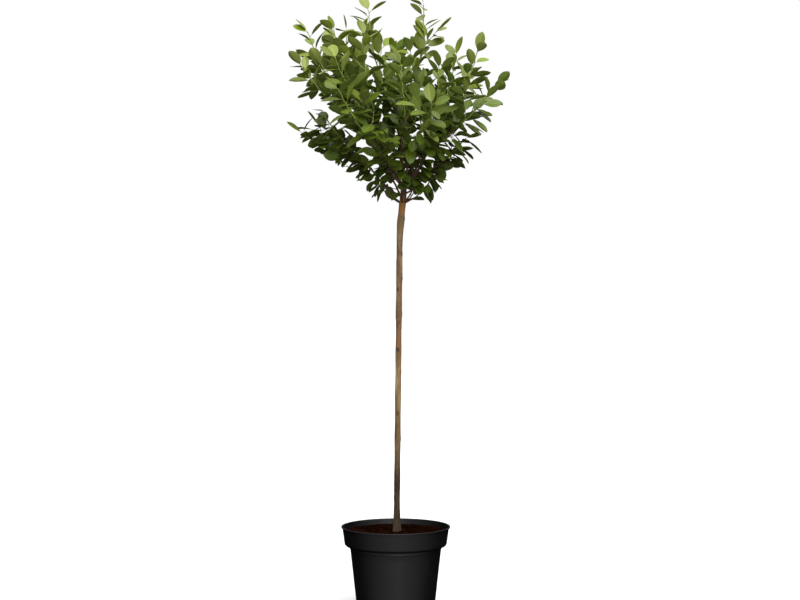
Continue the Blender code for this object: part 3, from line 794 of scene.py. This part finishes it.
class Limb:
    """One bough with the mass that it carries: the lines that both are built along."""

    def __init__(self, name, tips, root_height):
        heart = stem_axis(HEAD_HEIGHT)
        ways = [heading(bearing, lean) * reach * MM for bearing, lean, reach in tips]
        mean = sum(ways, Vector()) / len(ways)
        bearing = math.degrees(math.atan2(mean.y, mean.x))
        lean = math.degrees(mean.angle(UP))
        fork_reach = FORK_SHARE * sum(way.length for way in ways) / len(ways)
        fork = heart + heading(bearing, FORK_LEAN * lean) * fork_reach
        steer = heart + heading(bearing, LIMB_SPREAD * lean) * fork_reach / 2
        self.name = name
        self.line = arc(stem_axis(root_height), steer, fork, LIMB_STEPS)
        self.bough_end = BOUGH_SHARE * length_of(self.line)
        self.whips = []
        for way in ways:
            tip = heart + way * (1 + WHIP_REACH_ON / way.length)
            bow = Vector((way.x, way.y, 0)).normalized() * WHIP_BOW * (tip - fork).length
            self.whips.append(arc(fork, fork.lerp(tip, 0.5) + bow, tip, WHIP_STEPS))

    def bough_line(self):
        return cut_line(self.line, 0, self.bough_end + MM)

    def mass_line(self):
        return cut_line(self.line, self.bough_end, length_of(self.line))

    def skeleton(self):
        return [self.line, *self.whips]


def grow_wood(name, shoots, roundness):
    """Round tapering wood along many lines, as one piece. Each shoot is (points, radii)."""
    wood = bpy.data.curves.new(name, "CURVE")
    wood.dimensions = "3D"
    wood.bevel_depth = 1
    wood.bevel_resolution = roundness
    wood.use_fill_caps = True
    for points, radii in shoots:
        spline = wood.splines.new("POLY")
        spline.points.add(len(points) - 1)
        for corner, point, radius in zip(spline.points, points, radii):
            corner.co = (*point, 1)
            corner.radius = radius
    piece = bpy.data.objects.new(name, wood)
    bpy.context.scene.collection.objects.link(piece)
    only(piece)
    bpy.ops.object.convert(target="MESH")
    piece = bpy.context.object
    bpy.ops.object.shade_smooth_by_angle(angle=math.radians(WOOD_SHARP_ABOVE))
    return piece


flattest_first = sorted(LIMBS, key=lambda name: -max(tip[1] for tip in LIMBS[name]))
root_step = (HIGHEST_BOUGH - LOWEST_BOUGH) / (len(LIMBS) - 1)
limbs = []
for place, name in enumerate(flattest_first):
    limbs.append(Limb(name, LIMBS[name], LOWEST_BOUGH + root_step * place))
bough_lines = []
for limb in limbs:
    line = limb.bough_line()
    total = length_of(line)
    count = round(total / BOUGH_POINT_EVERY)
    points = [point_along(line, total * place / count)[0] for place in range(count + 1)]
    taper = (BOUGH_TIP_RADIUS - BOUGH_ROOT_RADIUS) / count
    bough_lines.append((points, [BOUGH_ROOT_RADIUS + taper * place for place in range(count + 1)]))
boughs = grow_wood("boughs", bough_lines, BOUGH_ROUNDNESS)
raise_lumps(boughs, "bough_bark", BOUGH_LUMP, BOUGH_RELIEF, BARK_FINENESS)
apply_all(boughs)
# Two-year bark: smooth, red brown and faintly glossy, under a torn grey film, with small pale lenticels
bough_skin = bark("red_brown_cherry_bark", "5c4033", ("4a3128", "6f5546", "7d6c5c"), "94806a", 0.5, 0.6)[0]
boughs.data.materials.append(bough_skin)
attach(boughs, "root")
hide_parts(*[f"bough_{name}" for name in LIMBS])

# The whips and twigs are this year's wood: long, slim and upright, red brown at the foot and yellow green
# towards the tip, with a leaf or a side twig at each node. The limbs below them, and the short spurs that
# hang from the head, carry their leaves in clusters of three.
SPUR_ROOT = 1056 * MM
SPUR_RISE = 4 * MM
# Each spur's tip, measured as a whip's is
SPURS = {
    "spur_front": (264, 48, 108),
    "spur_left": (203, 60, 90),
    "spur_right": (338, 60, 92),
    "spur_front_right": (308, 40, 118),
    "spur_back_left": (126, 62, 80),
    "spur_back_right": (56, 62, 80),
}
MASS_STEM_RADIUS = 2.5 * MM
WHIP_ROOT_RADIUS = 2.3 * MM
WHIP_TIP_RADIUS = 1.0 * MM
TWIG_ROOT_RADIUS = 1.3 * MM
TWIG_TIP_RADIUS = 0.7 * MM
TWIG_STEPS = 6
TWIG_EVERY = 3
LIMB_TWIGS_TO = 0.9
WHIP_TWIGS_TO = 0.72
TWIG_LENGTH = 74 * MM
TWIG_LENGTH_FALL = 0.45
TWIG_SIZES = (0.88, 1.26)
TWIG_ANGLE = 46
TWIG_LIFT = 0.35
TWIG_SHRINK = 0.85
NODE_SPACING = 13.5 * MM
CLUSTER = 3
NODE_LENGTH = 2.4 * MM
NODE_SWELLING = 1.25
NODE_SWAY = 0.7 * MM
GOLDEN_ANGLE = 137.5
TURN_JITTER = 20
TRIES = 9
TRY_TURN = 47
TWIG_ROUNDNESS = 2
WOOD_SIDES = 3
UPRIGHT_FROM = 0.9
SHORTEST_SIDE = 0.05
SPACE_EVERY = 4
SPACE_MARGIN = 0.6 * MM
STEM_STEPS = 40
BOUGH_ROOM_EVERY = 3
LIMB_CLEARANCE = 0.6 * MM
CROWN_FOOT = 1058 * MM
FOOT_REACH = 80 * MM
FOOT_SPREAD = 105 * MM
FOOT_CURVE = 0.7


class Spur:
    """A short leafy shoot that springs from the head itself and hangs."""

    def __init__(self, name, tip):
        bearing, lean, reach = tip
        way = heading(bearing, lean) * reach * MM
        root = stem_axis(SPUR_ROOT)
        steer = root + Vector((way.x, way.y, 0)) / 2 + UP * SPUR_RISE
        self.name = name
        self.line = arc(root, steer, stem_axis(HEAD_HEIGHT) + way, WHIP_STEPS)

    def skeleton(self):
        return [self.line]


class Spaces:
    """Shares the crown out: each mass owns what is nearer to its own lines than to any other's."""

    def __init__(self, plants):
        starts, ways, owners = [], [], []
        for owner, plant in enumerate(plants):
            for line in plant.skeleton():
                for a, b in zip(line[::SPACE_EVERY], line[SPACE_EVERY::SPACE_EVERY]):
                    starts.append(a)
                    ways.append(b - a)
                    owners.append(owner)
        self.starts = np.array(starts)
        self.ways = np.array(ways)
        self.squares = (self.ways**2).sum(1)
        self.firsts = np.searchsorted(owners, range(len(plants)))

    def holds(self, owner, points):
        """Whether all the points lie in the owner's space, clear of its edge by a margin."""
        at =np.array(points)[:, None, :] - self.starts[None]
        share = np.clip((at * self.ways).sum(2) / self.squares, 0, 1)
        away = np.sqrt(((at - share[..., None] * self.ways) ** 2).sum(2))
        nearest = np.minimum.reduceat(away, self.firsts, axis=1)
        own = nearest[:, owner] + 2 * SPACE_MARGIN
        nearest[:, owner] = np.inf
        return bool((own < nearest.min(1)).all())


def wood_room(points, radius):
    """The room that a limb takes up, as corners and faces: three-sided wood along the points."""
    corners, faces = [], []
    for index, point in enumerate(points):
        along = points[min(index + 1, len(points) - 1)] - points[max(index - 1, 0)]
        side = along.cross(UP if abs(along.normalized().z) < UPRIGHT_FROM else EAST).normalized()
        across = along.normalized().cross(side)
        for turn in range(WOOD_SIDES):
            angle = 2 * math.pi * turn / WOOD_SIDES
            corners.append(point + (side * math.cos(angle) + across * math.sin(angle)) * radius)
            if index:
                before, after = len(corners) - 1 - WOOD_SIDES, (turn + 1) % WOOD_SIDES
                base = WOOD_SIDES * (index - 1) + after
                faces.append((before, base, base + WOOD_SIDES, before + WOOD_SIDES))
    return corners, faces


def round_a_stem(along, turn):
    """The way square out of a stem, on the side that turn gives in degrees."""
    side = along.cross(UP)
    if side.length < SHORTEST_SIDE:
        side = along.cross(EAST)
    side.normalize()
    angle = math.radians(turn)
    return side * math.cos(angle) + along.cross(side) * math.sin(angle)


def in_the_crown(point):
    """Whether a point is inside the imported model's box and above the crown's foot, which rises outward."""
    if any(not low < value < high for low, value, high in zip(cad_low, point, cad_high)):
        return False
    outward = max(0, math.hypot(point.x - heart.x, point.y - heart.y) - FOOT_REACH)
    return point.z > CROWN_FOOT + FOOT_SPREAD * (outward / FOOT_SPREAD) ** FOOT_CURVE


spurs = [Spur(name, tip) for name, tip in SPURS.items()]
plants = limbs + spurs
spaces = Spaces(plants)
heart = stem_axis(HEAD_HEIGHT)
stem_rise = STEM_TOP - SOIL_LEVEL
stem_line = [stem_axis(SOIL_LEVEL + stem_rise * step / STEM_STEPS) for step in range(STEM_STEPS + 1)]
limb_rooms = [BVHTree.FromPolygons(*wood_room(stem_line, STEM_RADIUS + LIMB_CLEARANCE))]
for line, _ in bough_lines:
    room = wood_room(line[::BOUGH_ROOM_EVERY], BOUGH_ROOT_RADIUS + LIMB_CLEARANCE)
    limb_rooms.append(BVHTree.FromPolygons(*room))

# The leaves are simple and oval with a short point, folded a little along a pale midrib and held by a slim
# stalk. Those near the head hang. Five shapes of leaf are modelled once and dealt out.
LEAF_LENGTH = 48 * MM
LEAF_WIDTH_SHARE = 0.59
LEAF_SIZES = (0.84, 1.16)
LEAF_WIDTHS = (0.86, 1.12)
LEAF_ANGLE = 52
LEAF_TILTS = (-16, 16)
LEAF_FACING = (0.7, 0.5)
LEAF_ROLL = 1.3
LEAF_SHRINK = 0.97
YOUNG_ZONE = 0.86
YOUNG_SIZE = 0.88
TIP_LEAF_TURN = 60
TIP_LEAF_ANGLE = 14
LEAF_DROOP = 1.5
DROOP_HEIGHT = 240 * MM
LEAF_LIFT = 0.45
STALK_SHARE = 0.19
STALK_END = (0.6, 1, 2)
LEAF_THICKNESS_SHARE = 0.011
TIP_SHARE = 0.02
RIB_SHARE = 0.045
RIB_WIDEST = 0.04
RIB_FACING = 0.4
TOP_FACING = 0.2
TOP, UNDERSIDE, RIB, STALK = range(4)
LEAF_SHARP_ABOVE = 40
# How far along the blade each row lies, and its half width as a share of the widest
LEAF_OUTLINE = ((0, 0.07), (0.1, 0.4), (0.28, 0.82), (0.5, 1), (0.7, 0.93), (0.88, 0.56), (1, 0))
# How each shape folds along its midrib, arches down to its tip, and sways to one side
LEAF_SHAPES = ((0.1, 0.08, 0.02), (0.34, 0.14, -0.03), (0.2, 0.3, 0.03), (0.5, 0.05, 0), (0.16, 0.2, -0.05))


def model_leaf(fold, arch, sway):
    """One leaf with a blade 1 long along +Y, built up row by row, then given its thickness and its stalk."""
    bpy.ops.object.select_all(action="DESELECT")
    bpy.ops.mesh.primitive_grid_add(x_subdivisions=3, y_subdivisions=1, size=1)
    leaf = bpy.context.object
    bpy.ops.object.mode_set(mode="EDIT")
    foot_half = LEAF_OUTLINE[0][1] * LEAF_WIDTH_SHARE / 2
    bpy.ops.mesh.select_all(action="SELECT")
    bpy.ops.transform.resize(value=(2 * foot_half, LEAF_OUTLINE[1][0], 1))
    bpy.ops.transform.translate(value=(0, LEAF_OUTLINE[1][0] / 2, 0))
    pick(lambda corner: abs(corner.x) < foot_half / 2)
    bpy.ops.transform.resize(value=(3 * RIB_SHARE, 1, 1))
    pick(lambda corner: abs(corner.x) > foot_half / 2)
    bpy.ops.transform.translate(value=(0, 0, fold * foot_half))
    pick(lambda corner: corner.y > LEAF_OUTLINE[1][0] / 2)
    first_spread = LEAF_OUTLINE[1][1] / LEAF_OUTLINE[0][1]
    bpy.ops.transform.resize(value=(first_spread, 1, first_spread))
    for before, after in zip(LEAF_OUTLINE[1:], LEAF_OUTLINE[2:]):
        spread = max(after[1], TIP_SHARE) / before[1]
        down = arch * (after[0] ** 2 - before[0] ** 2)
        aside = sway * math.sin(math.pi * after[0]) - sway * math.sin(math.pi * before[0])
        forward = after[0] - before[0]
        bpy.ops.mesh.extrude_region_move(TRANSFORM_OT_translate={"value": (aside, forward, -down)})
        bpy.ops.transform.resize(value=(spread, 1, spread))
    bpy.ops.mesh.merge(type="CENTER")
    bpy.ops.object.mode_set(mode="OBJECT")
    blade = leaf.modifiers.new("blade", "SOLIDIFY")
    blade.thickness = LEAF_THICKNESS_SHARE
    blade.offset = 0
    apply_all(leaf)
    bpy.ops.object.mode_set(mode="EDIT")
    pick(lambda corner: corner.y < LEAF_OUTLINE[1][0] / 2)
    bpy.ops.mesh.extrude_region_move(TRANSFORM_OT_translate={"value": (0, -STALK_SHARE, 0)})
    bpy.ops.transform.resize(value=STALK_END)
    bpy.ops.mesh.select_all(action="SELECT")
    bpy.ops.mesh.normals_make_consistent(inside=False)
    bpy.ops.transform.translate(value=(0, STALK_SHARE, 0))
    bpy.ops.object.mode_set(mode="OBJECT")
    return Form(leaf, leaf_part)


def leaf_part(face, corners):
    """Which part of the leaf a face belongs to."""
    if face.center.y < STALK_SHARE:
        return STALK
    across = max(corner.x for corner in corners) - min(corner.x for corner in corners)
    if abs(face.normal.z) > RIB_FACING and across < RIB_WIDEST:
        return RIB
    return TOP if face.normal.z > TOP_FACING else UNDERSIDE


class Mass:
    """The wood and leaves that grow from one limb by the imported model's rule, and keep to its space."""

    def __init__(self, owner, name):
        self.owner = owner
        self.rng = random.Random(name)
        self.shoots = []
        self.leaves = []
        self.rooms = []

    def room_for(self, corners, faces, parent):
        """The room of a new piece, if it stays in the mass's space, off the limbs and off its neighbours."""
        if not all(in_the_crown(corner) for corner in corners):
            return None
        if not spaces.holds(self.owner, corners):
            return None
        room = BVHTree.FromPolygons(corners, faces)
        if any(room.overlap(limb) for limb in limb_rooms):
            return None
        if any(index != parent and room.overlap(other) for index, other in enumerate(self.rooms)):
            return None
        return room

    def grow_shoot(self, line, thickness, twigs_to, cluster, parent):
        """A stem with a cluster of leaves or a side twig at each node, if there is room for it."""
        root_radius, tip_radius = thickness
        corners, faces = wood_room(line, root_radius)
        if parent is None:
            room = BVHTree.FromPolygons(corners, faces)
        else:
            room = self.room_for(corners, faces, parent)
        if room is None:
            return False
        self.rooms.append(room)
        stem = len(self.rooms) - 1
        total = length_of(line)
        count = max(1, round(total / NODE_SPACING))
        points, radii = [line[0]], [root_radius]
        tone = self.rng.uniform(-SPRAY_TONE, SPRAY_TONE)
        for node in range(1, count + 1):
            share = node / count
            site, along = point_along(line, total * share - NODE_LENGTH)
            turn = GOLDEN_ANGLE * node + self.rng.uniform(-TURN_JITTER, TURN_JITTER)
            site = site + round_a_stem(along, turn) * NODE_SWAY
            radius = root_radius + (tip_radius - root_radius) * share
            for step, swelling in ((-1, 1), (0, NODE_SWELLING), (1, 1)):
                points.append(site + along * NODE_LENGTH * step)
                radii.append(radius * swelling)
            if share < twigs_to and node % TWIG_EVERY == 1:
                self.side_twig(site, along, turn, share, stem)
            else:
                for place in range(cluster):
                    self.leaf(site, along, turn + place * GOLDEN_ANGLE, share, stem, LEAF_ANGLE, tone)
        self.shoots.append((points, radii))
        self.leaf(line[-1], along, TIP_LEAF_TURN, 1, stem, TIP_LEAF_ANGLE, tone)
        return True

    def side_twig(self, site, along, turn, share, stem):
        """A twig that bends upward, turned and shortened until it has room."""
        for attempt in range(TRIES):
            radial = round_a_stem(along, turn + TRY_TURN * attempt)
            tilt = math.radians(TWIG_ANGLE)
            way = along * math.cos(tilt) + radial * math.sin(tilt)
            size = (1 - TWIG_LENGTH_FALL * share) * self.rng.uniform(*TWIG_SIZES)
            half = TWIG_LENGTH * size * TWIG_SHRINK**attempt / 2
            steer = site + way * half
            end = steer + (way + UP * TWIG_LIFT).normalized() * half
            line = arc(site, steer, end, TWIG_STEPS)
            if self.grow_shoot(line, (TWIG_ROOT_RADIUS, TWIG_TIP_RADIUS), 0, 1, stem):
                return

    def leaf(self, site, along, turn, share, stem, angle, tone):
        """A leaf, turned, lifted and shrunk until it has room. Those near the head droop."""
        size = self.rng.uniform(*LEAF_SIZES) * (YOUNG_SIZE if share > YOUNG_ZONE else 1)
        above = max(0, site.z - HEAD_HEIGHT)
        droop = LEAF_DROOP * max(0, 1 - above / DROOP_HEIGHT)
        for attempt in range(TRIES):
            radial = round_a_stem(along, turn + TRY_TURN * attempt)
            tilt = math.radians(angle + self.rng.uniform(*LEAF_TILTS))
            way = along * math.cos(tilt) + radial * math.sin(tilt)
            way = (way.normalized() - UP * droop * (1 - LEAF_LIFT * attempt / TRIES)).normalized()
            face = along * LEAF_FACING[0] + UP * LEAF_FACING[1]
            face = (face - way * face.dot(way)).normalized()
            roll = radial.cross(way) * self.rng.uniform(-LEAF_ROLL, LEAF_ROLL)
            face = (face + roll - way * roll.dot(way)).normalized()
            length = LEAF_LENGTH * size * LEAF_SHRINK**attempt
            across = way.cross(face) * (LEAF_WIDTH_SHARE * length / 2)
            foot = site + way * (STALK_SHARE * length)
            middle = foot + way * (length / 2)
            corners = [site, foot, middle - across, foot + way * length, middle + across, middle]
            room = self.room_for(corners, ((1, 2, 5), (2, 3, 5), (3, 4, 5), (4, 1, 5)), stem)
            if room is not None:
                self.rooms.append(room)
                self.keep_leaf(site, way, face, length, share, tone)
                return

    def keep_leaf(self, site, way, face, length, share, tone):
        """Deals out a leaf's shape and its green: paler further out and higher up as painted light, and
        varied by spray.
        """
        form = self.rng.choice(leaf_forms)
        outward = (site - heart).length / CROWN_REACH
        upward = (site.z - HEAD_HEIGHT) / CROWN_REACH
        # Leaves further out and higher up get paler greens: painted light
        light = OUTWARD_PAINTED_LIGHT * outward + UPWARD_PAINTED_LIGHT * upward + tone + self.rng.uniform(-LEAF_TONE, LEAF_TONE)
        shade = max(0, min(len(LEAF_GREENS) - 2, int(light * (len(LEAF_GREENS) - 1))))
        if share > YOUNG_ZONE and upward > YOUNG_FROM and self.rng.random() < YOUNG_SHARE:
            shade = len(LEAF_GREENS) - 1
        parts = [4 * shade + part for part in range(4)]
        across = way.cross(face) * (length * self.rng.uniform(*LEAF_WIDTHS))
        axes = np.array([across, way * length, face * length]).T
        self.leaves.append((form, axes, site, parts))


leaf_forms = [model_leaf(*leaf_shape) for leaf_shape in LEAF_SHAPES]

# Leaf skins, each of one colour: a waxy upper side, a duller and paler underside, a pale rib and a stalk
# that is tinged red. The greens run from painted shade on the leaves inside the crown to painted light on
# those further out and higher up, with a yellow green for some new leaves at the tips.
LEAF_GREENS = (
    ("inner", "42540f", "52632a", "586a20", "52521f"),
    ("shaded", "4d6013", "5d702c", "697c26", "605f22"),
    ("full", "5a6c19", "6c7e34", "7c8f2e", "6f7128"),
    ("outer", "6c7b25", "7e8d42", "8e9d3a", "7e8032"),
    ("sunlit", "7f8c34", "8f9b52", "a1ad49", "8d903a"),
    ("young", "788e14", "8a9a38", "9aac2c", "8c962c"),
)
CROWN_REACH = 480 * MM
# How much paler a leaf's green is further out and higher up: painted light
OUTWARD_PAINTED_LIGHT = 0.55
UPWARD_PAINTED_LIGHT = 0.35
SPRAY_TONE = 0.1
LEAF_TONE = 0.16
YOUNG_FROM = 0.55
YOUNG_SHARE = 0.3
# How rough each part of a leaf is, how much it bends light, and how it shines
LEAF_GLOSS = {
    "top": (0.38, 1.45, 0.5),
    "underside": (0.65, 1.4, 0.25),
    "rib": (0.5, 1.4, 0.3),
    "stalk": (0.5, 1.4, 0.3),
}
leaf_skins = []
for light_and_age, *tints in LEAF_GREENS:
    for tint, (part, gloss) in zip(tints, LEAF_GLOSS.items()):
        leaf_skins.append(new_finish(f"{light_and_age}_leaf_{part}", tint, *gloss)[0])
# Skins of the new wood: red brown where it has ripened, olive where it is turning, and yellow green above
wood_skins = [
    new_finish("ripe_red_brown_twig", "5f4335", 0.55, 1.45)[0],
    new_finish("ripening_olive_twig", "6b6a35", 0.5, 1.45)[0],
    new_finish("green_shoot", "86974a", 0.45, 1.45)[0],
]
RIPE_REACH = 150 * MM
TURNING_REACH = 235 * MM

for owner, plant in enumerate(plants):
    mass = Mass(owner, plant.name)
    if plant in spurs:
        mass.grow_shoot(plant.line, (WHIP_ROOT_RADIUS, WHIP_TIP_RADIUS), 0, CLUSTER, None)
    else:
        mass.grow_shoot(plant.mass_line(), (MASS_STEM_RADIUS, WHIP_ROOT_RADIUS), LIMB_TWIGS_TO, CLUSTER, None)
        for whip in plant.whips:
            sunk = [whip[0].lerp(whip[WHIP_STEPS // 4], -WHIP_SUNK), *whip[1:]]
            mass.grow_shoot(sunk, (WHIP_ROOT_RADIUS, WHIP_TIP_RADIUS), WHIP_TWIGS_TO, 1, None)
    twigs = grow_wood(f"twigs_{plant.name}", mass.shoots, TWIG_ROUNDNESS)
    for skin in wood_skins:
        twigs.data.materials.append(skin)
    for face in twigs.data.polygons:
        reach = (face.center - heart).length
        face.material_index = int(reach > RIPE_REACH) + int(reach > TURNING_REACH)
    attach(twigs, "root")
    foliage = join_copies(f"foliage_{plant.name}", mass.leaves, leaf_skins)
    only(foliage)
    bpy.ops.object.shade_smooth_by_angle(angle=math.radians(LEAF_SHARP_ABOVE))
    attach(foliage, "root")
    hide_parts(f"leaves_{plant.name}")

low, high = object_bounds()
